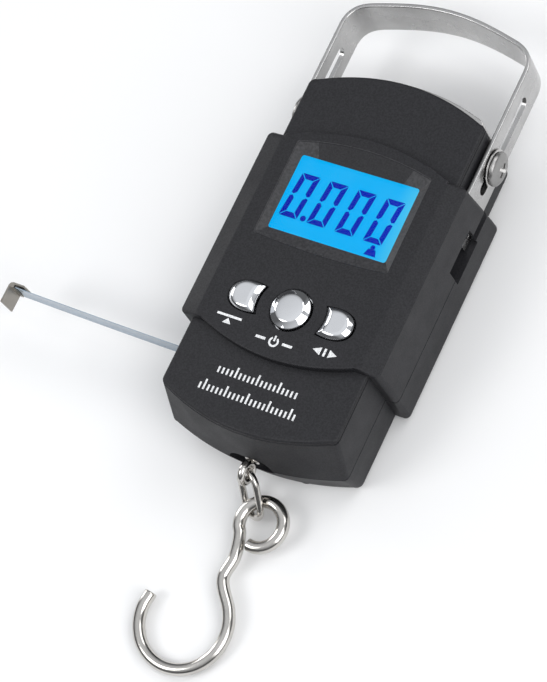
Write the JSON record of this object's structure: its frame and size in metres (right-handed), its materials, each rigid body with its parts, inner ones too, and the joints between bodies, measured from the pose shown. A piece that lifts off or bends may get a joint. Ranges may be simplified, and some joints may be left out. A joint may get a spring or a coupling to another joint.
{
  "type": "digital hanging scale",
  "caption": "Hand-held electronic hanging scale with a sliding strip handle, a backlit display, push buttons, a pull-out measuring tape and a wire hook on a link.",
  "frame": {"origin": "middle of the case's flat back, level with the surface it lies on", "axes": "+X to the right of the display, +Y towards the handle, +Z out of the display"},
  "size_m": [0.1319, 0.2097, 0.035],
  "materials": {
    "case": "fine-grained charcoal moulded plastic",
    "lens": "clear window",
    "screen": "backlit liquid-crystal panel",
    "diffuser": "light guide",
    "board": "circuit board",
    "black_parts": "moulded electronic parts",
    "inner_plastic": "moulded reel",
    "chrome": "mirror-plated",
    "steel": "polished strip steel",
    "wire_steel": "polished wire",
    "end_steel": "plain strip",
    "alloy": "machined",
    "tape": "lacquered spring steel",
    "cell": "printed cell jacket"
  },
  "bodies": {
    "case": {"front_shell": "case", "rear_shell": "case", "display_lens": "lens", "lcd_panel": "screen", "backlight": "diffuser", "main_board": "board", "controller_chip": "black_parts", "power_switch": "black_parts", "unit_switch": "black_parts", "tare_switch": "black_parts", "hanger_strap": "steel", "load_cell": "alloy", "load_cell_bolt": "steel", "eyelet": "wire_steel", "tape_blade": "tape", "reel_axle": "steel", "reel_spring": "steel", "handle_screw_right": "steel", "handle_washer_right": "steel", "handle_nut_right": "steel", "battery_right": "cell", "battery_spring_right": "steel", "battery_contact_right": "steel", "handle_screw_left": "steel", "handle_washer_left": "steel", "handle_nut_left": "steel", "battery_left": "cell", "battery_spring_left": "steel", "battery_contact_left": "steel", "case_screw_1": "steel", "case_screw_2": "steel", "case_screw_3": "steel", "case_screw_4": "steel"},
    "handle": {"handle": "steel"},
    "power_button": {"power_button": "chrome"},
    "unit_button": {"unit_button": "chrome"},
    "tare_button": {"tare_button": "chrome"},
    "tape_reel": {"tape_reel": "inner_plastic", "tape_coil": "tape"},
    "tape_end": {"tape_end_hook": "end_steel"},
    "link": {"link": "wire_steel"},
    "hook": {"hook": "wire_steel"},
    "battery_cover": {"battery_cover": "case"}
  },
  "joints": [
    {"name": "handle_slide", "type": "slide", "parent": "case", "child": "handle", "axis": [0, -1, 0], "range_m": [-0.0065, 0.021]},
    {"name": "power_press", "type": "slide", "parent": "case", "child": "power_button", "axis": [0, 0, -1], "range_m": [0, 0.0008], "stiffness_N_per_m": 400, "springref_m": -0.0008},
    {"name": "unit_press", "type": "slide", "parent": "case", "child": "unit_button", "axis": [0, 0, -1], "range_m": [0, 0.0008], "stiffness_N_per_m": 400, "springref_m": -0.0008},
    {"name": "tare_press", "type": "slide", "parent": "case", "child": "tare_button", "axis": [0, 0, -1], "range_m": [0, 0.0008], "stiffness_N_per_m": 400, "springref_m": -0.0008},
    {"name": "tape_slide", "type": "slide", "parent": "case", "child": "tape_end", "axis": [1, -0.0077, 0], "range_m": [0, 0.058], "deforming": ["tape_blade"]},
    {"name": "reel_spin", "type": "hinge", "parent": "case", "child": "tape_reel", "pos_m": [-0.0166, -0.0422, 0.017], "axis": [0, 0, 1], "range_deg": [-450, 0]},
    {"name": "link_swing", "type": "hinge", "parent": "case", "child": "link", "pos_m": [-0.00059, -0.06083, 0.01376], "axis": [0.8835, -0.1719, 0.4358], "range_deg": [-50, 20]},
    {"name": "hook_swing", "type": "hinge", "parent": "link", "child": "hook", "pos_m": [0.007, -0.0723, 0.00533], "axis": [0, -0.071, 0.9975], "range_deg": [-45, 45]},
    {"name": "battery_cover_slide", "type": "slide", "parent": "case", "child": "battery_cover", "axis": [0, 0, -1], "range_m": [0, 0.015]}
  ],
  "couplings": [
    {"joint": "reel_spin", "follows": "tape_slide", "rad_per_m": -135.14}
  ]
}
